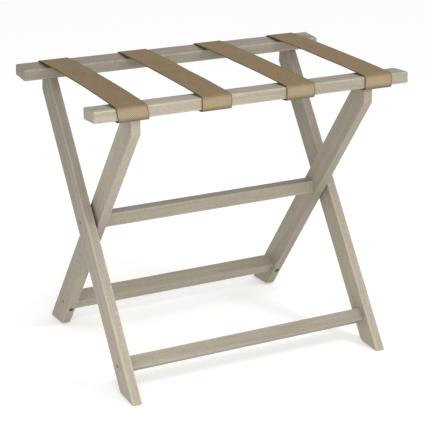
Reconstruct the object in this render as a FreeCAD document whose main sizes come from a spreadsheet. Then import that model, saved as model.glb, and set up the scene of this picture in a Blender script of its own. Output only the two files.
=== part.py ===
"""Folding luggage rack: two wooden frames that cross like scissors under four webbing straps.

Lengths are in millimetres and angles in degrees.  X runs along the rails, Y from front to
back and Z up.  The origin lies on the floor, midway between the feet.

Each frame is one rail on top of two legs.  The outer frame has its rail at the back and its
feet at the front; the inner frame is the same shape turned round, between the outer legs.
Both are drawn as they were cut, with rail and feet level.  The straps stop the rack a little
short of that, so each frame stands leaned back by the swing angle about the line where the
leg centre lines cross.
"""
import FreeCAD, Part
import math
import os
import re

import Sketcher
from FreeCAD import Placement, Rotation, Vector

OUTER = 1     # frame with its rail at the back: its profile is drawn as it is
INNER = -1    # frame with its rail at the front: its profile is mirrored in Y
LEFT = -1
RIGHT = 1
SIDES = {"left": LEFT, "right": RIGHT}

SIZES = [
    # the frames as cut, measured from the line where the leg centre lines cross
    ("cut_lean", 38.9, "lean of the legs from upright, rail and feet level"),
    ("swing", 3.55, "how far each frame stops short of level when the straps are taut"),
    ("cross_height", 261.8, "height of the crossing line above the floor when open"),
    ("foot_drop", 248.5, "crossing line down to the sawn foot"),
    ("rail_rise", 216.0, "crossing line up to the underside of the rail"),
    # legs
    ("leg_width", 43.4, "leg section, in the plane of the scissors"),
    ("leg_thickness", 17.0, "leg section, along X"),
    ("leg_end_cut", 179.1, "upright cut on the outside of each leg's top end"),
    ("outer_face", 252.3, "outer face of the outer legs from the middle"),
    ("leg_gap", 4.85, "gap between an outer leg and its inner leg"),
    # rails
    ("rail_length", 597.0, "rail along X"),
    ("rail_width", 43.6, "rail across"),
    ("rail_height", 20.2, "rail thickness"),
    ("rail_offset", 167.2, "rail centre line from the crossing line"),
    # stretchers
    ("bar_depth", 27.0, "stretcher section, the wide way"),
    ("bar_height", 23.4, "stretcher section, the narrow way"),
    ("low_bar_reach", 260.0, "crossing line to a low stretcher, down the legs"),
    ("front_bar_set", -4.5, "front stretcher off the leg centre line"),
    ("back_bar_set", 0.3, "back stretcher off the leg centre line"),
    # pivot line, measured from the crossing line with the rack open
    ("pivot_y", 4.0, "pivot line behind the crossing line"),
    ("pivot_z", -2.9, "pivot line above the crossing line"),
    ("pivot_radius", 2.5, "pivot screw shank"),
    ("pivot_length", 65.0, "pivot screw under its head"),
    ("running_gap", 0.05, "radial clearance of the outer leg on the pivot screw"),
    ("spacer_radius", 9.0, "spacer between the legs"),
    # screws
    ("screw_radius", 2.1, "wood screw shank"),
    ("bar_screw_length", 46.0, "stretcher screw under its head"),
    ("trim_head_radius", 3.2, "small straight head of the leg screws"),
    ("trim_head_height", 3.0, "height of that head"),
    ("trim_head_sink", 1.0, "depth of the head below the leg's face"),
    ("drive_width", 2.5, "hexagon socket, from the middle to a corner"),
    ("drive_depth", 1.8, "depth of the socket"),
    ("rail_screw_length", 42.0, "rail screw from the top of its head"),
    ("rail_screw_middle", 163.8, "middle of each pair of rail screws from the crossing line"),
    ("rail_screw_pitch", 14.5, "spacing of each pair of rail screws"),
    ("flat_head_radius", 4.1, "countersunk head"),
    ("flat_head_height", 2.4, "height of the countersunk head"),
    # straps
    ("strap_width", 55.0, "webbing width"),
    ("strap_thickness", 1.6, "webbing thickness"),
    ("strap_gap", 0.2, "webbing to wood"),
    ("strap_pitch", 155.6, "strap to strap"),
    ("strap_tuck", 31.0, "webbing under the rail, from the rail's outer face"),
    ("hem_layers", 2.0, "layers of webbing there, where the end is folded back on itself"),
    # tacks under the rails
    ("tack_radius", 1.0, "tack shank"),
    ("tack_length", 11.0, "tack shank in the rail"),
    ("tack_head_radius", 3.5, "tack head"),
    ("tack_head_height", 0.8, "tack head thickness"),
    ("tack_inset", 23.0, "tacks from the rail's outer face"),
    ("tack_pitch", 18.0, "tack to tack"),
    ("notch_gap", 0.4, "clearance of an end strap's notch round a leg's end"),
    # bumpers on the undersides of the inner legs
    ("bumper_radius", 4.0, "rubber bumper"),
    ("bumper_height", 1.8, "how far it stands out of the leg"),
    ("bumper_reach", 258.0, "crossing line to a bumper, down the leg"),
    # eased edges
    ("leg_round", 1.3, "edge radius of legs and stretchers"),
    ("rail_round", 2.6, "edge radius of the rails"),
]

X_AXIS = Vector(1, 0, 0)
Y_AXIS = Vector(0, 1, 0)
STRAP_PLACES = (-1.5, -0.5, 0.5, 1.5)   # strap middles, in strap pitches
INSIDE_STRAPS = (-0.5, 0.5)             # those of them that are clear of the legs
TACK_PLACES = (-1, 0, 1)                # tacks across such a strap, in tack pitches
TACK_HOLE_GAP = 0.3                     # radial clearance of a tack in the webbing
END_TACK_PLACES = (-0.4, 0.4)           # tacks across an end strap, beside the leg
NEARLY_FLAT = 10.0                      # an edge turning less than this is left sharp
ALONG_X = 0.999                         # least cosine of an edge that runs along X
LEAST_CUT = 0.5                         # cubic mm that every cut has to take away

doc = FreeCAD.newDocument("LuggageRack")
sheet = doc.addObject("Spreadsheet::Sheet", "Sizes")
for row, (alias, value, note) in enumerate(SIZES, start=1):
    sheet.set(f"A{row}", alias)
    sheet.set(f"B{row}", str(value))
    sheet.set(f"C{row}", note)
    sheet.setAlias(f"B{row}", alias)
doc.recompute()


def size(alias):
    """Number held in a sheet cell."""
    return float(sheet.get(alias))


def cells(formula):
    """Formula in which each sheet alias is written as a reference to its cell."""
    return re.sub(r"[a-z_]+", lambda found: REFERENCES.get(found[0], found[0]), formula)


def value_of(formula):
    """Number that a formula of sheet aliases comes to, with the trigonometry in degrees."""
    probe.setExpression("Length", cells(formula))
    probe.recompute()
    return float(probe.Length)


REFERENCES = {alias: f"Sizes.{alias}" for alias, _, _ in SIZES}
probe = doc.addObject("Part::FeaturePython", "Probe")
probe.addProperty("App::PropertyFloat", "Length")

# ---------------------------------------------------------------- shared formulas

# half the leg's width measured level, and the outermost x of the inner legs
LEVEL_HALF = "(leg_width / 2 / cos(cut_lean))"
INNER_FACE = "(outer_face - leg_thickness - leg_gap)"
RAIL_TOP = "(rail_rise + rail_height)"


def along_leg(frame, reach, offset):
    """Y and Z of a point down (negative reach) or up a leg, and off its centre line."""
    y = f"({frame} * (({reach}) * sin(cut_lean) - ({offset}) * cos(cut_lean)))"
    z = f"(({reach}) * cos(cut_lean) + ({offset}) * sin(cut_lean))"
    return y, z


def cut_pivot(frame):
    """Y and Z of the pivot line in a frame as it was cut."""
    y = f"(pivot_y * cos(swing) + {frame} * pivot_z * sin(swing))"
    z = f"(pivot_z * cos(swing) - {frame} * pivot_y * sin(swing))"
    return y, z


def as_opened(frame, y, z):
    """Y and Z, above the floor, that a point of a frame comes to when the rack is open."""
    open_y = f"({y} * cos(swing) - {frame} * ({z}) * sin(swing))"
    open_z = f"({frame} * ({y}) * sin(swing) + ({z}) * cos(swing) + cross_height)"
    return open_y, open_z


def lean_frame(piece, frame):
    """Lean a piece drawn with its frame as cut to where it stands when the rack is open."""
    stand = Vector(0, 0, size("cross_height"))
    piece.Placement = Placement(stand, Rotation(X_AXIS, frame * size("swing")))
    piece.setExpression("Placement.Base.z", cells("cross_height"))
    piece.setExpression("Placement.Rotation.Angle", cells(f"{frame} * swing"))


# ---------------------------------------------------------------- sketch helpers

def new_body(label):
    """Empty body whose label names its file."""
    body = doc.addObject("PartDesign::Body", label)
    body.Label = label
    return body


def sketch_on(body, name, role, offset="0"):
    """Sketch on one of the body's own origin planes, moved along the plane's normal."""
    sketch = body.newObject("Sketcher::SketchObject", f"{body.Label}_{name}")
    plane = next(item for item in body.Origin.OriginFeatures if item.Role == role)
    sketch.AttachmentSupport = [(plane, "")]
    sketch.MapMode = "FlatFace"
    sketch.setExpression("AttachmentOffset.Base.z", cells(offset))
    return sketch


def pin_point(sketch, geometry, place, corner):
    """Hold a point of a sketch at a corner given as two formulas."""
    for kind, formula in zip(("DistanceX", "DistanceY"), corner):
        constraint = Sketcher.Constraint(kind, -1, 1, geometry, place, value_of(formula))
        index = sketch.addConstraint(constraint)
        sketch.setExpression(f"Constraints[{index}]", cells(formula))


def draw_outline(sketch, corners):
    """Closed outline of straight lines through corners given as pairs of formulas."""
    points = [Vector(value_of(first), value_of(second), 0) for first, second in corners]
    count = len(points)
    for index in range(count):
        sketch.addGeometry(Part.LineSegment(points[index], points[(index + 1) % count]))
    for index in range(count):
        sketch.addConstraint(Sketcher.Constraint("Coincident", index, 2, (index + 1) % count, 1))
    for index, corner in enumerate(corners):
        pin_point(sketch, index, 1, corner)


def draw_circles(sketch, centres, radius):
    """Equal circles at centres given as pairs of formulas."""
    for centre in centres:
        middle = Vector(value_of(centre[0]), value_of(centre[1]), 0)
        circle = sketch.addGeometry(Part.Circle(middle, Vector(0, 0, 1), value_of(radius)))
        pin_point(sketch, circle, 3, centre)
        index = sketch.addConstraint(Sketcher.Constraint("Radius", circle, value_of(radius)))
        sketch.setExpression(f"Constraints[{index}]", cells(radius))


def pad(body, sketch, length, midplane=False):
    """Pad a sketch along its plane's normal."""
    feature = body.newObject("PartDesign::Pad", f"{body.Label}_pad")
    feature.Profile = sketch
    feature.SideType = "Symmetric" if midplane else "One side"
    feature.setExpression("Length", cells(length))
    doc.recompute()
    return feature


def pocket(body, sketch, depth, towards_normal=False):
    """Cut a sketch into the body, and stop if the cut took nothing away."""
    before = body.Shape.Volume
    feature = body.newObject("PartDesign::Pocket", f"{sketch.Name}_cut")
    feature.Profile = sketch
    feature.setExpression("Length", cells(depth))
    feature.Reversed = towards_normal
    doc.recompute()
    if body.Shape.Volume > before - LEAST_CUT:
        raise ValueError(f"{feature.Name} cuts nothing")
    return feature


def turning(shape, edge):
    """Angle, in degrees, by which the surface turns at an edge between two flat faces."""
    normals = [face.normalAt(0, 0) for face in shape.ancestorsOfType(edge, Part.Face)]
    return math.degrees(normals[0].getAngle(normals[1]))


def ease_edges(body, base, radius, wanted=lambda edge: True):
    """Round the straight edges of a prism, except those that hardly turn."""
    shape = base.Shape
    names = []
    for number, edge in enumerate(shape.Edges, start=1):
        if wanted(edge) and turning(shape, edge) > NEARLY_FLAT:
            names.append(f"Edge{number}")
    feature = body.newObject("PartDesign::Fillet", f"{body.Label}_eased")
    feature.Base = (base, names)
    feature.setExpression("Radius", cells(radius))
    doc.recompute()
    return feature


def runs_along_x(edge):
    """True for a straight edge parallel to X."""
    step = edge.Vertexes[-1].Point - edge.Vertexes[0].Point
    return abs(step.x) > ALONG_X * step.Length


# ---------------------------------------------------------------- wooden pieces

def leg_outline(frame):
    """Corners of a leg's side: top end under the rail, upright cut, sawn foot, worn flat."""
    under_rail = f"(rail_rise * tan(cut_lean) - {LEVEL_HALF})"
    cut_bottom = f"((leg_end_cut - {LEVEL_HALF}) / tan(cut_lean))"
    heel = f"({LEVEL_HALF} - foot_drop * tan(cut_lean))"
    flat_start = "((foot_drop * cos(swing) - cross_height) / sin(swing))"
    toe_level = (f"(({LEVEL_HALF} * sin(swing) - cross_height)"
                 " / (cos(swing) + tan(cut_lean) * sin(swing)))")
    toe = f"({toe_level} * tan(cut_lean) - {LEVEL_HALF})"
    corners = [
        (under_rail, "rail_rise"),
        ("leg_end_cut", "rail_rise"),
        ("leg_end_cut", cut_bottom),
        (heel, "-foot_drop"),
        (flat_start, "-foot_drop"),
        (toe, toe_level),
    ]
    return [(f"{frame} * {y}", z) for y, z in corners]


def make_leg(label, frame, side):
    """Leg with its pivot hole, its stretcher screw's hole and the holes in its top end."""
    outside = "outer_face" if frame == OUTER else INNER_FACE
    near_face = f"({outside} - leg_thickness)" if side == RIGHT else f"-{outside}"
    outer_side = f"({side} * {outside})"
    body = new_body(label)
    profile = sketch_on(body, "profile", "YZ_Plane", near_face)
    draw_outline(profile, leg_outline(frame))
    blank = pad(body, profile, "leg_thickness")
    ease_edges(body, blank, "leg_round")

    # a pocket runs against X, so on a left leg, whose outer face looks to -X, it is reversed
    inwards = side == LEFT
    bar_set = "front_bar_set" if frame == OUTER else "back_bar_set"
    low_bar = along_leg(frame, "-low_bar_reach", bar_set)
    pivot_hole = "(pivot_radius + running_gap)" if frame == OUTER else "pivot_radius"
    pivot = sketch_on(body, "pivot", "YZ_Plane", outer_side)
    draw_circles(pivot, [cut_pivot(frame)], pivot_hole)
    pocket(body, pivot, "leg_thickness", inwards)
    screw = sketch_on(body, "bar_screw", "YZ_Plane", outer_side)
    draw_circles(screw, [low_bar], "screw_radius")
    pocket(body, screw, "leg_thickness", inwards)
    heads = [low_bar, cut_pivot(frame)] if frame == OUTER else [low_bar]
    sink = sketch_on(body, "heads", "YZ_Plane", outer_side)
    draw_circles(sink, heads, "(trim_head_radius + running_gap)")
    pocket(body, sink, "trim_head_sink + trim_head_height", inwards)

    end = sketch_on(body, "rail_screws", "XY_Plane", "rail_rise")
    middle = f"({side} * ({outside} - leg_thickness / 2))"
    draw_circles(end, [(middle, y) for y in rail_screw_rows(frame)], "screw_radius")
    pocket(body, end, "rail_screw_length - rail_height")
    lean_frame(body, frame)


def rail_screw_rows(frame):
    """Y of the two rail screws over a leg."""
    return [f"({frame} * (rail_screw_middle + {half} * rail_screw_pitch))" for half in (-0.5, 0.5)]


def make_rail(label, frame):
    """Rail with countersunk holes over the legs and pilot holes for the tacks underneath."""
    body = new_body(label)
    profile = sketch_on(body, "profile", "YZ_Plane")
    inside = f"({frame} * (rail_offset - rail_width / 2))"
    outside = f"({frame} * (rail_offset + rail_width / 2))"
    draw_outline(profile, [(inside, "rail_rise"), (outside, "rail_rise"),
                           (outside, RAIL_TOP), (inside, RAIL_TOP)])
    blank = pad(body, profile, "rail_length", midplane=True)
    ease_edges(body, blank, "rail_round")

    leg_face = "outer_face" if frame == OUTER else INNER_FACE
    holes = sketch_on(body, "screws", "XY_Plane", RAIL_TOP)
    places = [(f"({side} * ({leg_face} - leg_thickness / 2))", y)
              for side in SIDES.values() for y in rail_screw_rows(frame)]
    draw_circles(holes, places, "screw_radius")
    drill_countersunk(body, holes)

    tacks = sketch_on(body, "tacks", "XY_Plane", "rail_rise")
    draw_circles(tacks, tack_places(frame), "tack_radius")
    pocket(body, tacks, "tack_length", towards_normal=True)
    lean_frame(body, frame)


def drill_countersunk(body, sketch):
    """Countersunk screw holes right through the rail at the circles of a sketch."""
    before = body.Shape.Volume
    hole = body.newObject("PartDesign::Hole", f"{body.Label}_countersunk")
    doc.recompute()
    hole.Profile = sketch
    hole.DepthType = "ThroughAll"
    hole.setExpression("Diameter", cells("2 * screw_radius"))
    hole.HoleCutType = "Countersink"
    hole.HoleCutCustomValues = True
    hole.setExpression("HoleCutDiameter", cells("2 * flat_head_radius"))
    hole.setExpression("HoleCutCountersinkAngle", cells(
        "2 * atan((flat_head_radius - screw_radius) / flat_head_height)"))
    doc.recompute()
    if body.Shape.Volume > before - LEAST_CUT:
        raise ValueError(f"{hole.Name} cuts nothing")


def make_low_bar(label, frame, bar_set, half_length):
    """Low stretcher, its wide faces square across the legs, with a pilot hole in each end."""
    body = new_body(label)
    profile = sketch_on(body, "profile", "YZ_Plane")
    corners = []
    for along, across in ((-1, -1), (-1, 1), (1, 1), (1, -1)):
        reach = f"(-low_bar_reach + {along} * bar_height / 2)"
        offset = f"({bar_set} + {across} * bar_depth / 2)"
        corners.append(along_leg(frame, reach, offset))
    draw_outline(profile, corners)
    blank = pad(body, profile, f"2 * {half_length}", midplane=True)
    ease_edges(body, blank, "leg_round", runs_along_x)
    middle = along_leg(frame, "-low_bar_reach", bar_set)
    pilot_holes(body, middle, half_length, "screw_radius", BAR_SCREW_BITE)
    lean_frame(body, frame)


def make_middle_bar():
    """Level stretcher between the inner legs; the pivot screws bite into its ends."""
    body = new_body("middle_stretcher")
    profile = sketch_on(body, "profile", "YZ_Plane")
    y, z = cut_pivot(INNER)
    corners = []
    for across, up in ((-1, -1), (1, -1), (1, 1), (-1, 1)):
        corners.append((f"({y} + {across} * bar_depth / 2)", f"({z} + {up} * bar_height / 2)"))
    draw_outline(profile, corners)
    half_length = f"({INNER_FACE} - leg_thickness)"
    blank = pad(body, profile, f"2 * {half_length}", midplane=True)
    ease_edges(body, blank, "leg_round", runs_along_x)
    pilot_holes(body, (y, z), half_length, "pivot_radius", PIVOT_BITE)
    lean_frame(body, INNER)


def pilot_holes(body, centre, half_length, radius, depth):
    """Blind hole in each end of a stretcher."""
    for name, side in SIDES.items():
        hole = sketch_on(body, f"{name}_pilot", "YZ_Plane", f"({side} * {half_length})")
        draw_circles(hole, [centre], radius)
        pocket(body, hole, depth, side == LEFT)


# how deep the screws reach into the ends of the stretchers
HEAD_ROOM = "(trim_head_sink + trim_head_height)"
BAR_SCREW_BITE = f"(bar_screw_length + {HEAD_ROOM} - leg_thickness)"
PIVOT_BITE = f"(pivot_length + {HEAD_ROOM} - 2 * leg_thickness - leg_gap)"

# ---------------------------------------------------------------- screws, tacks and spacers

def cylinder(name, radius, height, base="0"):
    """Cylinder about Z, standing on a level given as a formula."""
    solid = doc.addObject("Part::Cylinder", name)
    solid.setExpression("Radius", cells(radius))
    solid.setExpression("Height", cells(height))
    solid.setExpression("Placement.Base.z", cells(base))
    return solid


def put_at(piece, corner, rotation):
    """Turn a piece and put its own origin at a corner given as three formulas."""
    piece.Placement = Placement(Vector(), rotation)
    for axis, formula in zip("xyz", corner):
        piece.setExpression(f"Placement.Base.{axis}", cells(formula))


def joined(name, shapes):
    """Fusion of several shapes."""
    fusion = doc.addObject("Part::MultiFuse", name)
    fusion.Shapes = shapes
    return fusion


def trim_screw(name, radius, length):
    """Screw with a small straight head and a hexagon socket; its head's top is at z = 0."""
    head = cylinder(f"{name}_head", "trim_head_radius", "trim_head_height", "-trim_head_height")
    shank = cylinder(f"{name}_shank", radius, f"({length} - {radius})",
                     f"({radius} - {length} - trim_head_height)")
    point = doc.addObject("Part::Cone", f"{name}_point")
    point.Radius1 = 0
    point.setExpression("Radius2", cells(radius))
    point.setExpression("Height", cells(radius))
    point.setExpression("Placement.Base.z", cells(f"(-{length} - trim_head_height)"))
    socket = doc.addObject("Part::Prism", f"{name}_socket")
    socket.Polygon = 6
    socket.setExpression("Circumradius", cells("drive_width"))
    socket.setExpression("Height", cells("drive_depth"))
    socket.setExpression("Placement.Base.z", cells("-drive_depth"))
    screw = doc.addObject("Part::Cut", name)
    screw.Base = joined(f"{name}_blank", [head, shank, point])
    screw.Tool = socket
    return screw


def flat_screw(name):
    """Countersunk screw; its head's top is at z = 0."""
    head = doc.addObject("Part::Cone", f"{name}_head")
    head.setExpression("Radius1", cells("screw_radius"))
    head.setExpression("Radius2", cells("flat_head_radius"))
    head.setExpression("Height", cells("flat_head_height"))
    head.setExpression("Placement.Base.z", cells("-flat_head_height"))
    shank = cylinder(f"{name}_shank", "screw_radius", "(rail_screw_length - flat_head_height)",
                     "-rail_screw_length")
    return joined(name, [head, shank])


def tack(name):
    """Tack with a flat head; it points up, and its head's top face is at z = 0."""
    head = cylinder(f"{name}_head", "tack_head_radius", "tack_head_height", "-tack_head_height")
    shank = cylinder(f"{name}_shank", "tack_radius", f"(tack_length + {TACK_REACH})")
    return joined(name, [head, shank])


def group(label, pieces, frame):
    """Node of several separate solids that stand with a frame."""
    node = doc.addObject("Part::Compound", label)
    node.Label = label
    node.Links = pieces
    lean_frame(node, frame)


def strap_tacks(frame, strap):
    """X and Y of the tacks in one end of a strap; an end strap has two, beside the leg."""
    y = f"({frame} * (rail_offset + rail_width / 2 - tack_inset))"
    if strap in INSIDE_STRAPS:
        return [(f"({strap} * strap_pitch + {step} * tack_pitch)", y) for step in TACK_PLACES]
    side = int(math.copysign(1, strap))
    leg_side = "(outer_face - leg_thickness)" if frame == OUTER else INNER_FACE
    strap_edge = f"({abs(strap)} * strap_pitch - {frame} * strap_width / 2)"
    middle = f"({side} * ({leg_side} + {strap_edge}) / 2)"
    return [(f"({middle} + {half} * tack_pitch)", y) for half in END_TACK_PLACES]


def tack_places(frame):
    """X and Y of all the tacks under a rail."""
    return [place for strap in STRAP_PLACES for place in strap_tacks(frame, strap)]


# a tack head lies on the webbing's far side, this far from the rail
TACK_REACH = "(hem_layers * strap_thickness + 2 * strap_gap)"
# depth of a level cut through a strap's tucked end, which leans with its rail
THROUGH_TUCK = "((2 + hem_layers) * strap_thickness)"


def towards(side):
    """Rotation that turns +Z to face outwards along X."""
    return Rotation(Y_AXIS, 90 * side)


def make_bar_screws(label, frame, bar_set, outside):
    """The two screws through a pair of legs into a low stretcher's ends."""
    y, z = along_leg(frame, "-low_bar_reach", bar_set)
    screws = []
    for name, side in SIDES.items():
        screw = trim_screw(f"{label}_{name}", "screw_radius", "bar_screw_length")
        put_at(screw, (f"({side} * ({outside} - trim_head_sink))", y, z), towards(side))
        screws.append(screw)
    group(label, screws, frame)


def make_rail_screws(label, frame, outside):
    """The four screws down through a rail into the ends of its legs."""
    screws = []
    for side_name, side in SIDES.items():
        for number, y in enumerate(rail_screw_rows(frame)):
            screw = flat_screw(f"{label}_{side_name}_{number}")
            put_at(screw, (f"({side} * ({outside} - leg_thickness / 2))", y, RAIL_TOP), Rotation())
            screws.append(screw)
    group(label, screws, frame)


def make_tacks(label, frame):
    """The tacks that hold the four strap ends under a rail."""
    tacks = []
    for number, (x, y) in enumerate(tack_places(frame)):
        nail = tack(f"{label}_{number}")
        put_at(nail, (x, y, f"(rail_rise - {TACK_REACH})"), Rotation())
        tacks.append(nail)
    group(label, tacks, frame)


def make_pivot(name, side):
    """Pivot screw and the spacer that it passes through between the legs."""
    screw = trim_screw(f"pivot_screw_{name}", "pivot_radius", "pivot_length")
    screw.Label = f"pivot_screw_{name}"
    height = "(pivot_z + cross_height)"
    put_at(screw, (f"({side} * (outer_face - trim_head_sink))", "pivot_y", height), towards(side))

    ring = new_body(f"pivot_spacer_{name}")
    near_face = f"{side} * (outer_face - leg_thickness - leg_gap / 2) - leg_gap / 2"
    profile = sketch_on(ring, "profile", "YZ_Plane", near_face)
    centre = ("pivot_y", height)
    draw_circles(profile, [centre], "spacer_radius")
    draw_circles(profile, [centre], "(pivot_radius + running_gap)")
    pad(ring, profile, "leg_gap")


def make_bumper(name, side):
    """Domed rubber bumper on the underside of an inner leg, level with the front stretcher."""
    body = new_body(f"bumper_{name}")
    profile = sketch_on(body, "profile", "XZ_Plane")
    rim = "(bumper_height / 2)"
    draw_outline(profile, [("0", "0"), ("bumper_radius", "0"), ("bumper_radius", rim),
                           ("(bumper_radius / 2)", "bumper_height"), ("0", "bumper_height")])
    turned = body.newObject("PartDesign::Revolution", f"{body.Label}_turned")
    turned.Profile = profile
    turned.ReferenceAxis = (profile, ["V_Axis"])
    turned.Angle = 360
    doc.recompute()
    # its axis is square to the leg's underside
    y, z = as_opened(INNER, *along_leg(INNER, "-bumper_reach", "-leg_width / 2"))
    put_at(body, (f"({side} * ({INNER_FACE} - leg_thickness / 2))", y, z), Rotation(X_AXIS, 90))
    body.setExpression("Placement.Rotation.Angle", cells("90 + cut_lean - swing"))


# ---------------------------------------------------------------- straps

def strap_outline():
    """Corners of a strap's side, from its hem under the front rail to its hem under the back."""
    face = "(rail_offset + rail_width / 2 + strap_gap)"
    tuck = "(rail_offset + rail_width / 2 - strap_tuck)"
    under = "(rail_rise - strap_gap)"
    over = f"({RAIL_TOP} + strap_gap)"
    skin = "strap_thickness"
    inner_side = [(tuck, under), (face, under), (face, over)]
    hem = f"({under} - hem_layers * {skin})"
    outside = f"({face} + {skin})"
    outer_side = [(outside, f"({over} + {skin})"), (outside, hem), (tuck, hem)]
    half = inner_side + outer_side
    back = [as_opened(OUTER, y, z) for y, z in half]
    front = [as_opened(INNER, f"-{y}", z) for y, z in half]
    return front[:3] + back[2::-1] + back[:2:-1] + front[3:]


def make_strap(number, place):
    """Webbing strap, held by tacks through holes in its tucked ends."""
    body = new_body(f"strap_{number}")
    middle = f"({place} * strap_pitch)"
    profile = sketch_on(body, "profile", "YZ_Plane", middle)
    draw_outline(profile, strap_outline())
    pad(body, profile, "strap_width", midplane=True)
    for name, frame in (("front", INNER), ("back", OUTER)):
        tacks = strap_tacks(frame, place)
        level = f"({as_opened(frame, tacks[0][1], 'rail_rise')[1]} + strap_thickness)"
        holes = sketch_on(body, f"{name}_holes", "XY_Plane", level)
        centres = [(x, as_opened(frame, y, "rail_rise")[0]) for x, y in tacks]
        draw_circles(holes, centres, f"(tack_radius + {TACK_HOLE_GAP})")
        pocket(body, holes, THROUGH_TUCK)
        if place not in INSIDE_STRAPS:
            notch_for_leg(body, name, frame, int(math.copysign(1, place)), level)


def notch_for_leg(body, name, frame, side, level):
    """Open notch in an end strap's tucked end, which leaves room for the leg's top end."""
    outside = "outer_face" if frame == OUTER else INNER_FACE
    near = f"({side} * ({outside} - leg_thickness - notch_gap))"
    far = f"({side} * ({outside} + notch_gap))"
    mouth = as_opened(frame, f"({frame} * (rail_offset - rail_width / 2))", "rail_rise")[0]
    root = as_opened(frame, f"({frame} * (leg_end_cut + notch_gap))", "rail_rise")[0]
    notch = sketch_on(body, f"{name}_notch", "XY_Plane", level)
    draw_outline(notch, [(near, mouth), (far, mouth), (far, root), (near, root)])
    pocket(body, notch, THROUGH_TUCK)


# ---------------------------------------------------------------- the rack

make_rail("back_rail", OUTER)
make_rail("front_rail", INNER)
for side_name, side_sign in SIDES.items():
    make_leg(f"outer_leg_{side_name}", OUTER, side_sign)
    make_leg(f"inner_leg_{side_name}", INNER, side_sign)
    make_pivot(side_name, side_sign)
    make_bumper(side_name, side_sign)
make_low_bar("front_stretcher", OUTER, "front_bar_set", "(outer_face - leg_thickness)")
make_low_bar("back_stretcher", INNER, "back_bar_set", f"({INNER_FACE} - leg_thickness)")
make_middle_bar()
make_bar_screws("stretcher_screws_front", OUTER, "front_bar_set", "outer_face")
make_bar_screws("stretcher_screws_back", INNER, "back_bar_set", INNER_FACE)
make_rail_screws("rail_screws_back", OUTER, "outer_face")
make_rail_screws("rail_screws_front", INNER, INNER_FACE)
make_tacks("strap_tacks_back", OUTER)
make_tacks("strap_tacks_front", INNER)
for strap_number, strap_place in enumerate(STRAP_PLACES, start=1):
    make_strap(strap_number, strap_place)

# ---------------------------------------------------------------- check and write

doc.removeObject(probe.Name)
doc.recompute()
for item in doc.Objects:
    if "Invalid" in item.State or "Error" in item.State:
        raise ValueError(f"{item.Name} failed: {item.State}")

used = {part for item in doc.Objects for part in item.OutList}
nodes = [item for item in doc.Objects if item.TypeId == "PartDesign::Body"]
nodes += [item for item in doc.Objects if item.TypeId.startswith("Part::") and item not in used]
os.makedirs("parts", exist_ok=True)
for node in nodes:
    shape = node.Shape
    if shape.isNull() or not shape.isValid():
        raise ValueError(f"{node.Label} has no valid shape")
    shape.exportStep(f"parts/{node.Label}.step")
    print(node.Label, len(shape.Solids), "solid(s)", round(shape.Volume), "mm3")
print("whole", Part.makeCompound([node.Shape for node in nodes]).BoundBox)
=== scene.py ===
import math

import bmesh
import bpy
import numpy as np
from mathutils import Matrix, Vector


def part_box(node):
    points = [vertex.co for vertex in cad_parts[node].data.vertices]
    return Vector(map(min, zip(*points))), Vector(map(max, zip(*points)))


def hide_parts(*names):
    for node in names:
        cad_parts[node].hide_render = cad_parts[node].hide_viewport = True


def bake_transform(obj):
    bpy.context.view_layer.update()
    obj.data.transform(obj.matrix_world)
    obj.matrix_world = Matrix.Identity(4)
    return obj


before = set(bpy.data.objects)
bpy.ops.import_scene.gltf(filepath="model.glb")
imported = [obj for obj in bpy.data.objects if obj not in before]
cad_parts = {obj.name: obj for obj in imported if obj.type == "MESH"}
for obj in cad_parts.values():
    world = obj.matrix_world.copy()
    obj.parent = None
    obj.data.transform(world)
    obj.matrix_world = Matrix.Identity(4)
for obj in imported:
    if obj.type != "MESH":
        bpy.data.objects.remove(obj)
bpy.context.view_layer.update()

# Lengths are in metres.  X runs along the rails, Y from front to back and Z up.
MM = 0.001

FRONT = -1
BACK = 1
RAILS = {FRONT: "front_rail", BACK: "back_rail"}
LEGS_UNDER = {FRONT: ("inner_leg_left", "inner_leg_right"), BACK: ("outer_leg_left", "outer_leg_right")}


# ---------------------------------------------------------------- material graphs

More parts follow.
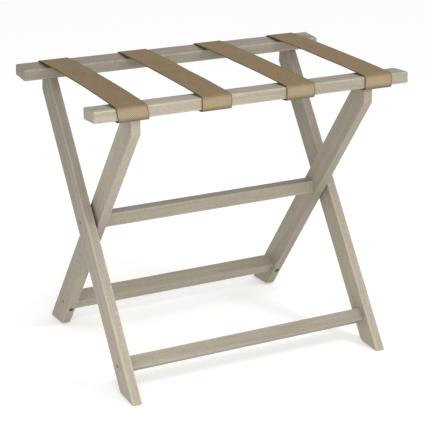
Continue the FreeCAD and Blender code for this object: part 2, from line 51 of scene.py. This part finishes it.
class Graph:
    """A material's node tree, with short ways to add nodes and wire them."""

    def __init__(self, name):
        self.material = bpy.data.materials.new(name)
        self.material.use_nodes = True
        self.tree = self.material.node_tree
        self.shader = self.tree.nodes["Principled BSDF"]

    def node(self, kind, inputs=None, **settings):
        """New node; inputs are sockets to link or plain values, by input name or number."""
        made = self.tree.nodes.new(kind)
        for key, value in settings.items():
            setattr(made, key, value)
        for key, value in (inputs or {}).items():
            self.wire(value, made.inputs[key])
        return made

    def wire(self, value, socket):
        if isinstance(value, bpy.types.NodeSocket):
            self.tree.links.new(value, socket)
        else:
            socket.default_value = value

    def math(self, operation, *values):
        made = self.node("ShaderNodeMath", dict(enumerate(values)), operation=operation)
        return made.outputs[0]

    def step(self, value, low, high, out_low=0.0, out_high=1.0):
        """Smooth step of a value from low to high."""
        made = self.node("ShaderNodeMapRange", interpolation_type="SMOOTHSTEP")
        for key, wired in (("Value", value), ("From Min", low), ("From Max", high),
                           ("To Min", out_low), ("To Max", out_high)):
            self.wire(wired, made.inputs[key])
        return made.outputs[0]

    def noise(self, vector, scale, detail=2.0, roughness=0.5):
        made = self.node("ShaderNodeTexNoise", {"Vector": vector, "Scale": scale, "Detail": detail,
                                                "Roughness": roughness})
        return made.outputs[0]

    def mapped(self, vector, location=(0, 0, 0), rotation=(0, 0, 0), scale=(1, 1, 1)):
        made = self.node("ShaderNodeMapping", {"Vector": vector, "Location": location,
                                               "Rotation": rotation, "Scale": scale})
        return made.outputs[0]

    def mix(self, factor, first, second, blend="MIX"):
        made = self.node("ShaderNodeMix", data_type="RGBA", blend_type=blend)
        self.wire(factor, made.inputs[0])
        self.wire(first, made.inputs[6])
        self.wire(second, made.inputs[7])
        return made.outputs[2]

    def split(self, vector):
        made = self.node("ShaderNodeSeparateXYZ", {0: vector})
        return made.outputs[0], made.outputs[1], made.outputs[2]

    def bump(self, height, distance, strength=1.0, normal=None):
        made = self.node("ShaderNodeBump", {"Height": height, "Distance": distance, "Strength": strength})
        if normal is not None:
            self.wire(normal, made.inputs["Normal"])
        return made.outputs[0]

    def finish(self, colour, roughness, normal, **uniform):
        """Wire the shader; uniform numbers go straight on its own sockets."""
        self.wire(colour, self.shader.inputs["Base Color"])
        self.wire(roughness, self.shader.inputs["Roughness"])
        self.wire(normal, self.shader.inputs["Normal"])
        for key, value in uniform.items():
            self.shader.inputs[key.replace("_", " ")].default_value = value
        return self.material


def srgb(red, green, blue):
    """Linear colour of an sRGB one given as 0 to 255."""
    def linear(value):
        value = value / 255
        return value / 12.92 if value <= 0.04045 else ((value + 0.055) / 1.055) ** 2.4
    return (linear(red), linear(green), linear(blue), 1.0)


def give(obj, material):
    """Puts one material on every slot of an object."""
    obj.data.materials.clear()
    obj.data.materials.append(material)


# ---------------------------------------------------------------- wood

def piece_axes(obj):
    """(rotation, centre, half sizes) of a prism-like piece: its grain first, then the normals of
    its wide and of its narrow faces."""
    mesh = obj.data
    areas = {}
    for polygon in mesh.polygons:
        normal = polygon.normal
        if normal.z + 0.01 * normal.x + 0.1 * normal.y <= 0:    # one sign for opposite faces
            normal = -normal
        key = tuple(round(value, 2) for value in normal)
        total, summed = areas.get(key, (0.0, Vector()))
        areas[key] = (total + polygon.area, summed + normal * polygon.area)
    ranked = sorted(areas.values(), key=lambda entry: -entry[0])
    wide = ranked[0][1].normalized()
    others = [entry[1].normalized() for entry in ranked[1:]]
    narrow = next(normal for normal in others if abs(normal.dot(wide)) < 0.05)
    grain = wide.cross(narrow).normalized()
    narrow = grain.cross(wide)
    rotation = Matrix((grain, wide, narrow))
    points = np.array([v.co for v in mesh.vertices]) @ np.array(rotation).T
    low, high = points.min(0), points.max(0)
    return rotation, (low + high) / 2, (high - low) / 2


# where a piece's tone, partly painted shade and light, starts and stops changing: up a leg (False) or along a
# bar (True)
TONE_AND_SHADE_ENDS = {False: (0.08, 0.45), True: (-0.29, 0.29)}
WOOD_TONES = {
    "main": srgb(149, 142, 126),
    "rosy": srgb(153, 140, 128),
    "green": srgb(146, 141, 123),
    "dark": srgb(122, 114, 99),
    "pale": srgb(173, 165, 149),
}
RINGS_PER_METRE = 340.0
RING_WANDER = 18 * MM
# each pattern in the wood: waves per metre along the grain and across it, detail and roughness
GRAIN = {
    "drift": (1.5, 6.0, 1.0, 0.5),
    "streaks": (7.0, 240.0, 4.0, 0.6),
    "broad": (4.0, 55.0, 3.0, 0.55),
    "pores": (60.0, 900.0, 2.0, 0.5),
    "blotch": (9.0, 22.0, 2.0, 0.5),
    "tint": (11.0, 26.0, 2.0, 0.5),
    "speck": (230.0, 420.0, 3.0, 0.65),
    "uneven": (35.0, 90.0, 3.0, 0.6),
}


def wood(name, obj, seed, low_tone_and_shade, high_tone_and_shade, rub_and_highlight):
    """Pale washed wood, whose grain runs along the piece: growth rings about a line off to one side, fine
    pores, soft blotches of tint where the wash took unevenly, and paler edges, partly rubbed wear and partly a
    painted highlight on the arrises. Its tone runs from one end (left or foot) to the other (right or top),
    partly the piece's own tone and partly painted shade and light where the lamps fall off along it and where
    the straps shade the legs' upper ends; the last argument is how much paler its edges are."""
    rotation, centre, half = piece_axes(obj)
    g = Graph(name)
    place = g.node("ShaderNodeTexCoord").outputs["Object"]
    local = g.mapped(place, location=tuple(-centre), rotation=tuple(rotation.to_euler()))
    shifted = g.mapped(local, location=(seed * 1.7, seed * 0.9, seed * 2.3))

    def grain(kind, location=(0, 0, 0)):
        along, across, detail, roughness = GRAIN[kind]
        stretched = g.mapped(shifted, location=location, scale=(along, across, across))
        return g.noise(stretched, 1.0, detail, roughness)

    # growth rings about a pith line that wanders slowly along the piece
    drift = grain("drift")
    x, y, z = g.split(local)
    pith_y = 0.045 + 0.02 * math.sin(seed * 2.1)
    pith_z = -0.035 + 0.02 * math.cos(seed * 1.3)
    away_y = g.math("SUBTRACT", y, pith_y)
    away_z = g.math("SUBTRACT", z, pith_z)
    squares = g.math("ADD", g.math("MULTIPLY", away_y, away_y), g.math("MULTIPLY", away_z, away_z))
    radius = g.math("ADD", g.math("SQRT", squares), g.math("MULTIPLY", drift, RING_WANDER))
    ring = g.math("FRACT", g.math("MULTIPLY", radius, RINGS_PER_METRE))
    late = g.math("POWER", ring, 3.0)

    streaks = grain("streaks")
    broad = grain("broad")
    pores = grain("pores")
    blotch = grain("blotch")
    tint = grain("tint", location=(3.1, 5.2, 1.7))
    speck = grain("speck")

    colour = g.mix(g.step(tint, 0.36, 0.64), WOOD_TONES["rosy"], WOOD_TONES["green"])
    colour = g.mix(g.step(blotch, 0.3, 0.7, 0.0, 0.8), colour, WOOD_TONES["main"])
    colour = g.mix(g.math("MULTIPLY", late, 0.16), colour, WOOD_TONES["dark"])
    colour = g.mix(g.step(streaks, 0.5, 0.78, 0.0, 0.45), colour, WOOD_TONES["dark"])
    colour = g.mix(g.step(broad, 0.5, 0.8, 0.0, 0.5), colour, WOOD_TONES["pale"])
    colour = g.mix(g.step(pores, 0.62, 0.72, 0.0, 0.35), colour, WOOD_TONES["dark"])
    colour = g.mix(g.step(speck, 0.48, 0.7, 0.0, 0.4), colour, WOOD_TONES["dark"])
    colour = g.mix(g.step(speck, 0.3, 0.46, 0.35, 0.0), colour, WOOD_TONES["pale"])

    # edges: the distance from each long arris, uneven along it; the paler band there is partly rubbed wear and
    # partly a painted highlight
    near_y = g.math("SUBTRACT", float(half[1]), g.math("ABSOLUTE", y))
    near_z = g.math("SUBTRACT", float(half[2]), g.math("ABSOLUTE", z))
    squares = g.math("ADD", g.math("MULTIPLY", near_y, near_y), g.math("MULTIPLY", near_z, near_z))
    corner = g.math("SQRT", squares)
    worn_and_highlit_width = g.step(grain("uneven"), 0.3, 0.7, 1.2 * MM, 3.6 * MM)
    inside = g.math("SUBTRACT", worn_and_highlit_width, corner)
    rubbed_and_painted_light = g.math("MULTIPLY", g.step(inside, -1.2 * MM, 0.8 * MM), rub_and_highlight)
    colour = g.mix(rubbed_and_painted_light, colour, WOOD_TONES["pale"])

    # the piece's tone from one end to the other: partly its own tone, partly painted shade and painted light
    # where the lamps fall off along it and where the straps shade the legs' upper ends
    is_bar = rotation[0].x ** 2 > 0.5
    along_x, _, height = g.split(place)
    low, high = TONE_AND_SHADE_ENDS[is_bar]
    tone_and_shade = g.step(along_x if is_bar else height, low, high, low_tone_and_shade, high_tone_and_shade)
    grey = g.node("ShaderNodeCombineXYZ", {0: tone_and_shade, 1: tone_and_shade, 2: tone_and_shade}).outputs[0]
    colour = g.mix(1.0, colour, grey, "MULTIPLY")

    roughness = g.step(streaks, 0.3, 0.7, 0.52, 0.68)
    relief = g.math("ADD", g.math("MULTIPLY", streaks, 0.6), g.math("MULTIPLY", pores, -0.5))
    relief = g.math("ADD", relief, g.math("MULTIPLY", late, -0.25))
    coarse = g.bump(broad, 0.0004, 0.6)
    normal = g.bump(relief, 0.00022, 0.8, coarse)
    return g.finish(colour, roughness, normal, Specular_IOR_Level=0.35)


# node, seed of its grain, its tone at the left end or foot and at the right end or top (partly painted shade
# and light), and its rub (paler edges, partly a painted highlight)
WOODEN = [
    ("front_rail", 1.0, 1.06, 0.86, 0.6), ("back_rail", 2.3, 0.76, 0.86, 0.5),
    ("outer_leg_left", 3.1, 1.15, 0.76, 0.55), ("outer_leg_right", 4.7, 1.12, 0.72, 0.45),
    ("inner_leg_left", 5.9, 1.02, 1.10, 0.15), ("inner_leg_right", 6.2, 0.92, 0.93, 0.12),
    ("front_stretcher", 7.4, 0.95, 0.86, 0.3), ("middle_stretcher", 8.8, 0.95, 0.95, 0.3),
    ("back_stretcher", 9.5, 1.04, 1.04, 0.1),
]
for node, *look in WOODEN:
    give(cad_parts[node], wood(f"wood_{node}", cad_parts[node], *look))


# ---------------------------------------------------------------- metal, nylon and rubber

def worn_metal(name, base, worn, metallic, rough_low, rough_high):
    """Finished steel, rubbed to a paler colour in patches, with fine scratches."""
    g = Graph(name)
    place = g.node("ShaderNodeTexCoord").outputs["Object"]
    patches = g.noise(place, 420.0, 3.0, 0.6)
    scratches = g.noise(g.mapped(place, rotation=(0.4, 0.7, 0.3), scale=(300.0, 4000.0, 900.0)), 1.0, 2.0, 0.5)
    colour = g.mix(g.step(patches, 0.5, 0.7, 0.0, 0.6), base, worn)
    roughness = g.step(scratches, 0.35, 0.65, rough_low, rough_high)
    return g.finish(colour, roughness, g.bump(scratches, 0.00003, 0.5), Metallic=metallic)


def moulded(name, base, dusty, rough_low, rough_high):
    """Dark nylon or rubber with a fine grained skin and a little dust."""
    g = Graph(name)
    place = g.node("ShaderNodeTexCoord").outputs["Object"]
    skin = g.noise(place, 2200.0, 2.0, 0.6)
    dust = g.noise(place, 260.0, 3.0, 0.6)
    colour = g.mix(g.step(dust, 0.45, 0.75, 0.0, 0.5), base, dusty)
    roughness = g.step(skin, 0.3, 0.7, rough_low, rough_high)
    return g.finish(colour, roughness, g.bump(skin, 0.00005, 0.6))


bronzed = worn_metal("bronzed_steel", srgb(126, 112, 92), srgb(158, 144, 122), 0.6, 0.36, 0.54)
blued = worn_metal("blued_steel", srgb(48, 50, 56), srgb(96, 98, 104), 0.9, 0.3, 0.48)
nylon = moulded("black_nylon", srgb(30, 29, 28), srgb(64, 61, 57), 0.42, 0.6)
rubber = moulded("brown_rubber", srgb(52, 46, 38), srgb(88, 80, 66), 0.6, 0.82)
for side in ("left", "right"):
    give(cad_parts[f"pivot_screw_{side}"], bronzed)
    give(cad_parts[f"pivot_spacer_{side}"], nylon)
    give(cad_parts[f"bumper_{side}"], rubber)
for end in ("front", "back"):
    give(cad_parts[f"stretcher_screws_{end}"], bronzed)
    give(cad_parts[f"rail_screws_{end}"], bronzed)
    give(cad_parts[f"strap_tacks_{end}"], blued)


# ---------------------------------------------------------------- webbing

STRAP_WIDTH = 55 * MM
STRAP_THICKNESS = 1.6 * MM
STRAP_LIFT = 0.2 * MM       # webbing off the wood
RAIL_ROUND = 2.6 * MM       # edge radius of the rails
TOP_BEND = 6.5 * MM         # radius of the stiff webbing where it bends over a rail's top edge
TOP_BEND_IN = 4.8 * MM      # centre of that bend, in from the rail's outer face and top
TUCK = 31 * MM              # webbing under a rail, from the rail's outer face
HEM_LAYERS = 2              # the end is folded back on itself there
HEM_STEP = 1.7 * MM         # from one of those layers to the other
RAW_END = 3.2 * MM          # where the folded-back end stops, from the rail's outer face
NOTCH_GAP = 0.9 * MM        # between a leg's top end and the notch that is cut for it
EDGE_PLACES = (0.012, 0.03)     # extra columns by a strap's edges, as shares of its width
COLUMNS = 23
SPAN_ROWS = 72
SLOPE_LENGTH = 370 * MM     # sets the slope at the span's ends; the span itself is 340 mm
FULLNESS = 2.6              # how flat the span's curve is in its middle
FINE_STEP = 3.5 * MM        # longest row round the rails
TWILL_PERIOD = 3.2 * MM     # from one diagonal rib to the next
WARP_PERIOD = 1.1 * MM
WEFT_PERIOD = 1.3 * MM

# each strap: its middle along X on the front rail and on the back rail, how far the stiff
# webbing stands up in the span, and how far its front end strays along X going down the rail
STRAPS = {
    1: (-0.2330, -0.2282, 3.2 * MM, 3.0 * MM),
    2: (-0.0801, -0.0735, 1.9 * MM, 0.0),
    3: (0.0792, 0.0816, 1.9 * MM, 0.0),
    4: (0.2352, 0.2374, 1.9 * MM, 0.0),
}


def rail_frame(side):
    """A rail's section: its outward and up directions, its outer face, its bottom and its top."""
    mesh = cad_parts[RAILS[side]].data
    top = max(mesh.polygons, key=lambda polygon: polygon.area * (polygon.normal.z > 0.9))
    up = Vector((0, top.normal.y, top.normal.z)).normalized()
    out = Vector((0, up.z, -up.y)) * side
    points = [v.co for v in mesh.vertices]
    heights = [p.dot(up) for p in points]
    return out, up, max(p.dot(out) for p in points), min(heights), max(heights)


def arc(centre, radius, first, last, count):
    """Points of an arc in the YZ plane between two directions given in degrees from +Y."""
    angles = [math.radians(first + (last - first) * k / count) for k in range(count + 1)]
    return [centre + radius * Vector((0, math.cos(a), math.sin(a))) for a in angles]


def half_path(side, leave=0.0):
    """Middle line of the webbing from its raw end, round its hem and a rail, to the top edge,
    which it leaves rising inwards by some degrees.

    Also returned: the numbers of the points at the foot and at the head of the rail's face."""
    out, up, outer, bottom, top = rail_frame(side)
    radius = RAIL_ROUND + STRAP_LIFT + STRAP_THICKNESS / 2
    upper = bottom - STRAP_LIFT - STRAP_THICKNESS / 2
    lower = upper - HEM_STEP
    lean = math.degrees(math.atan2(out.z, abs(out.y)))
    outwards = lean if side == BACK else 180 - lean
    turn = -side * 90
    fold_centre = out * (outer - TUCK + HEM_STEP / 2) + up * (upper - HEM_STEP / 2)
    low_centre = out * (outer - RAIL_ROUND) + up * (lower + radius)
    high_centre = out * (outer - TOP_BEND_IN) + up * (top - TOP_BEND_IN)
    points = [out * (outer - RAW_END) + up * upper]
    points += arc(fold_centre, HEM_STEP / 2, outwards - turn, outwards - 3 * turn, 6)
    points += arc(low_centre, radius, outwards + turn, outwards, 6)
    foot = len(points) - 1
    points += arc(high_centre, TOP_BEND, outwards, 90 - side * leave, 9)
    return points, foot, foot + 1


def spaced(points, step):
    """The same line with extra points, so that no gap is over step."""
    dense = [points[0]]
    for first, second in zip(points, points[1:]):
        count = max(1, math.ceil((second - first).length / step))
        dense += [first.lerp(second, k / count) for k in range(1, count + 1)]
    return dense


def strap_line(rise):
    """The whole middle line, front end to back end, with the span standing up a little."""
    leave = math.degrees(math.atan(2 * FULLNESS * rise / SLOPE_LENGTH))
    front = half_path(FRONT, leave)[0]
    back = half_path(BACK, leave)[0]
    start, end = front[-1], back[-1]
    line = spaced(front, FINE_STEP)[:-1]
    for k in range(SPAN_ROWS + 1):
        share = k / SPAN_ROWS
        point = start.lerp(end, share)
        line.append(point + Vector((0, 0, rise * (1 - abs(2 * share - 1) ** FULLNESS))))
    return line + spaced(back[::-1], FINE_STEP)[1:], start, end


def notch_edges(side, middle):
    """X of the two sides of the notch in a strap's tucked end, off the strap's middle, and how far
    out the notch reaches."""
    out = rail_frame(side)[0]
    for leg in LEGS_UNDER[side]:
        low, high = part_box(leg)
        if abs((low.x + high.x) / 2 - middle) < STRAP_WIDTH / 2:
            corners = [v.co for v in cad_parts[leg].data.vertices]
            reach = max(p.dot(out) for p in corners if p.z > high.z - 30 * MM)
            return low.x - NOTCH_GAP - middle, high.x + NOTCH_GAP - middle, reach + NOTCH_GAP
    return None


def notch_columns(notches):
    """Columns of a strap's grid, off its middle, with one along each side of every notch."""
    columns = set(np.linspace(-0.5, 0.5, COLUMNS) * STRAP_WIDTH)
    columns |= {(0.5 - edge) * STRAP_WIDTH * sign for edge in EDGE_PLACES for sign in (-1, 1)}
    for notch in notches:
        columns = {c for c in columns if min(abs(c - notch[0]), abs(c - notch[1])) > 0.9 * MM}
        columns |= {notch[0], notch[1]}
    return sorted(columns)


def ribbon(number):
    """Mesh of one strap: a grid along its middle line."""
    front_x, back_x, rise, stray = STRAPS[number]
    line, leave_front, leave_back = strap_line(rise)
    notches = {FRONT: notch_edges(FRONT, front_x + stray), BACK: notch_edges(BACK, back_x)}
    columns = notch_columns([notch for notch in notches.values() if notch])
    rails = {side: rail_frame(side) for side in (FRONT, BACK)}
    head, foot = rails[FRONT][4], rails[FRONT][3]

    mesh = bmesh.new()
    uv = mesh.loops.layers.uv.new("weave")
    rows = []
    travelled = 0.0
    for index, point in enumerate(line):
        if index:
            travelled += (point - line[index - 1]).length
        share = min(1.0, max(0.0, (point.y - leave_front.y) / (leave_back.y - leave_front.y)))
        if point.z < leave_front.z - TOP_BEND:      # down a rail's face or under the rail
            share = float(round(share))
        middle = front_x + (back_x - front_x) * share
        if share == 0.0:
            down = (head - point.dot(rails[FRONT][1])) / (head - foot)
            middle += stray * min(1.0, max(0.0, down))
        ripple = 0.00022 * math.sin(travelled * 41.0 + number * 2.0)
        row = []
        for column in columns:
            lift = ripple * math.sin(column * 95.0 + number) * 4 * share * (1 - share)
            row.append((mesh.verts.new((middle + column, point.y, point.z + lift)), column, travelled))
        rows.append(row)
    for first, second in zip(rows, rows[1:]):
        for k in range(len(columns) - 1):
            quad = (first[k], first[k + 1], second[k + 1], second[k])
            centre = sum((corner[0].co for corner in quad), Vector()) / 4
            side = FRONT if centre.y < 0 else BACK
            notch = notches[side]
            if notch:
                out, up, _, bottom, _ = rails[side]
                inside = notch[0] < (columns[k] + columns[k + 1]) / 2 < notch[1]
                if inside and centre.dot(out) < notch[2] and centre.dot(up) < bottom:
                    continue
            face = mesh.faces.new([corner[0] for corner in quad])
            for loop, corner in zip(face.loops, quad):
                loop[uv].uv = (corner[1], corner[2])
            face.smooth = True
    bmesh.ops.recalc_face_normals(mesh, faces=mesh.faces)
    loose = [v for v in mesh.verts if not v.link_faces]
    bmesh.ops.delete(mesh, geom=loose, context="VERTS")
    data = bpy.data.meshes.new(f"webbing_{number}")
    mesh.to_mesh(data)
    mesh.free()
    obj = bpy.data.objects.new(f"webbing_{number}", data)
    bpy.context.scene.collection.objects.link(obj)
    notch_area = 0.0
    for side, notch in notches.items():
        if notch:
            deep = notch[2] - (rails[side][2] - TUCK)
            notch_area += (notch[1] - notch[0]) * deep * HEM_LAYERS
    return obj, travelled, notch_area


def thicken(obj):
    """Gives the webbing its thickness and rounded edges, and leaves no modifier."""
    solid = obj.modifiers.new("thickness", "SOLIDIFY")
    solid.thickness = STRAP_THICKNESS
    solid.offset = 0
    solid.use_even_offset = True
    edge = obj.modifiers.new("soft_edge", "BEVEL")
    edge.width = 0.5 * MM
    edge.segments = 2
    edge.limit_method = "ANGLE"
    edge.angle_limit = math.radians(60)
    graph = bpy.context.evaluated_depsgraph_get()
    made = bpy.data.meshes.new_from_object(obj.evaluated_get(graph), preserve_all_data_layers=True,
                                           depsgraph=graph)
    obj.modifiers.clear()
    obj.data = made
    for polygon in made.polygons:
        polygon.use_smooth = True


def face_zone():
    """Travel along a strap's middle line from an end to the foot and to the head of a rail's face."""
    points, foot, head = half_path(FRONT)
    steps = [0.0] + [(second - first).length for first, second in zip(points, points[1:])]
    return sum(steps[:foot + 1]), sum(steps[:head + 1])


def webbing_material(length):
    """Tan webbing in a fine twill: diagonal ribs over crossing yarns, with plain woven edges.
    Where it is wrapped down the rails' faces it is painted paler, most of all near the top, as painted light
    where those faces meet the lamps; under the rails it gets painted shade, and a painted shade line runs
    along its long edges."""
    g = Graph("tan_webbing")
    place = g.node("ShaderNodeUVMap", uv_map="weave").outputs[0]
    u, v, _ = g.split(place)
    wobble = g.math("MULTIPLY", g.math("SUBTRACT", g.noise(place, 260.0, 2.0), 0.5), 0.0005)
    diagonal = g.math("ADD", g.math("ADD", u, g.math("MULTIPLY", v, 0.8)), wobble)
    rib = g.math("SINE", g.math("MULTIPLY", diagonal, 2 * math.pi / TWILL_PERIOD))
    warp = g.math("SINE", g.math("MULTIPLY", g.math("ADD", u, wobble), 2 * math.pi / WARP_PERIOD))
    weft = g.math("SINE", g.math("MULTIPLY", g.math("ADD", v, wobble), 2 * math.pi / WEFT_PERIOD))
    yarns = g.math("MULTIPLY", warp, weft)
    edge = g.math("SUBTRACT", STRAP_WIDTH / 2, g.math("ABSOLUTE", u))
    selvedge = g.step(edge, 0.0026, 0.0032, 1.0, 0.0)
    twill = g.math("ADD", g.math("MULTIPLY", rib, 0.65), g.math("MULTIPLY", yarns, 0.35))
    plain = g.math("ADD", g.math("MULTIPLY", weft, 0.8), g.math("MULTIPLY", yarns, 0.2))
    pattern = g.math("ADD", g.math("MULTIPLY", twill, g.math("SUBTRACT", 1.0, selvedge)),
                     g.math("MULTIPLY", plain, selvedge))
    fibres = g.noise(g.mapped(place, scale=(2600.0, 700.0, 1.0)), 1.0, 3.0, 0.6)
    faded = g.noise(g.mapped(place, scale=(40.0, 18.0, 1.0)), 1.0, 3.0, 0.55)

    colour = g.mix(g.step(pattern, -0.7, 0.7), srgb(84, 69, 47), srgb(150, 130, 98))
    colour = g.mix(g.step(faded, 0.35, 0.7, 0.0, 0.3), colour, srgb(140, 124, 94))
    colour = g.mix(g.step(fibres, 0.55, 0.8, 0.0, 0.3), colour, srgb(150, 134, 104))
    foot, head = face_zone()
    travel = g.math("MINIMUM", v, g.math("SUBTRACT", length, v))
    # painted light: the faces wrapped down the rails are painted paler, as if lit by the lamps in front
    rubbed_and_painted_light = g.step(travel, foot - 1 * MM, foot + 6 * MM)
    rubbed_and_painted_light = g.math("MULTIPLY", rubbed_and_painted_light, g.step(travel, head - 1 * MM, head + 8 * MM, 1.0, 0.0))
    colour = g.mix(g.math("MULTIPLY", rubbed_and_painted_light, 0.26), colour, srgb(186, 171, 150))
    # painted shade: darker under the rail's bottom edge and along the hem beneath it
    shaded = g.step(travel, foot - 4 * MM, foot + 1.5 * MM, 0.6, 0.0)
    colour = g.mix(shaded, colour, srgb(74, 61, 42))
    # painted shade: a dark line along the webbing's long edges, where their sides turn away from the light
    colour = g.mix(g.step(edge, 0.0003, 0.0021, 0.72, 0.0), colour, srgb(66, 54, 37))
    roughness = g.step(fibres, 0.3, 0.7, 0.72, 0.88)
    height = g.math("ADD", g.math("MULTIPLY", pattern, 0.5), g.math("MULTIPLY", fibres, 0.25))
    normal = g.bump(height, 0.00035, 0.9)
    g.shader.inputs["Sheen Tint"].default_value = srgb(214, 190, 150)
    return g.finish(colour, roughness, normal, Sheen_Weight=0.06, Sheen_Roughness=0.5, Specular_IOR_Level=0.15)


tan_webbing = None
for number in STRAPS:
    strap, length, notch_area = ribbon(number)
    thicken(strap)
    tan_webbing = tan_webbing or webbing_material(length)
    give(strap, tan_webbing)
    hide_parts(f"strap_{number}")
    # at the fold's limit this carries the span into the rails
    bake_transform(strap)


# ---------------------------------------------------------------- floor, light and camera

FLOOR_HALF = 9.0
CAMERA_PLACE = (-1.17904, -2.25173, 1.14681)
CAMERA_TURN = (-27.755, 19.655, 0.495)      # azimuth, elevation and roll in degrees
CAMERA_LENS = 125.77                        # on a 36 mm sensor
# each light: direction from the rack, distance, width, height, power
LIGHTS = {
    "front": ((-0.22, -0.83, 0.27), 2.1, 0.9, 0.9, 13),
    "left": ((-0.63, -0.75, 0.13), 1.7, 0.9, 0.9, 4),
    "right": ((0.46, -0.56, 0.68), 2.0, 0.5, 0.5, 11),
}


def floor():
    half = FLOOR_HALF
    corners = [(-half, -half, 0), (half, -half, 0), (half, half, 0), (-half, half, 0)]
    data = bpy.data.meshes.new("floor")
    data.from_pydata(corners, [], [(0, 1, 2, 3)])
    obj = bpy.data.objects.new("floor", data)
    bpy.context.scene.collection.objects.link(obj)
    g = Graph("pale_floor")
    place = g.node("ShaderNodeTexCoord").outputs["Object"]
    cloud = g.noise(place, 0.8, 2.0)
    colour = g.mix(cloud, (0.86, 0.86, 0.86, 1), (0.89, 0.89, 0.885, 1))
    g.wire(colour, g.shader.inputs["Base Color"])
    g.shader.inputs["Roughness"].default_value = 0.9
    g.shader.inputs["Emission Color"].default_value = (1, 1, 1, 1)
    g.shader.inputs["Emission Strength"].default_value = 0.2
    give(obj, g.material)


def softbox(name, towards, distance, width, height, power, aim=(0, 0, 0.28)):
    """Rectangular area light that faces the rack from a direction."""
    light = bpy.data.lights.new(name, "AREA")
    light.shape = "RECTANGLE"
    light.size = width
    light.size_y = height
    light.energy = power
    obj = bpy.data.objects.new(name, light)
    bpy.context.scene.collection.objects.link(obj)
    direction = Vector(towards).normalized()
    obj.location = Vector(aim) + direction * distance
    obj.rotation_euler = direction.to_track_quat("Z", "Y").to_euler()


def camera():
    azimuth, elevation, roll = (math.radians(value) for value in CAMERA_TURN)
    back = Vector((math.sin(azimuth) * math.cos(elevation), -math.cos(azimuth) * math.cos(elevation),
                   math.sin(elevation)))
    right = (-back).cross(Vector((0, 0, 1))).normalized()
    up = right.cross(-back)
    across = math.cos(roll) * right + math.sin(roll) * up
    upright = -math.sin(roll) * right + math.cos(roll) * up
    data = bpy.data.cameras.new("camera")
    data.sensor_width = 36.0
    data.lens = CAMERA_LENS
    obj = bpy.data.objects.new("camera", data)
    bpy.context.scene.collection.objects.link(obj)
    turned = Matrix((across, upright, back)).transposed()
    obj.matrix_world = Matrix.Translation(CAMERA_PLACE) @ turned.to_4x4()
    bpy.context.scene.camera = obj


floor()
for name, light in LIGHTS.items():
    softbox(name, *light)
world = bpy.data.worlds.new("studio")
world.use_nodes = True
world.node_tree.nodes["Background"].inputs["Color"].default_value = (1.0, 1.0, 1.0, 1.0)
world.node_tree.nodes["Background"].inputs["Strength"].default_value = 0.85
bpy.context.scene.world = world
bpy.context.scene.view_settings.view_transform = "Standard"
camera()
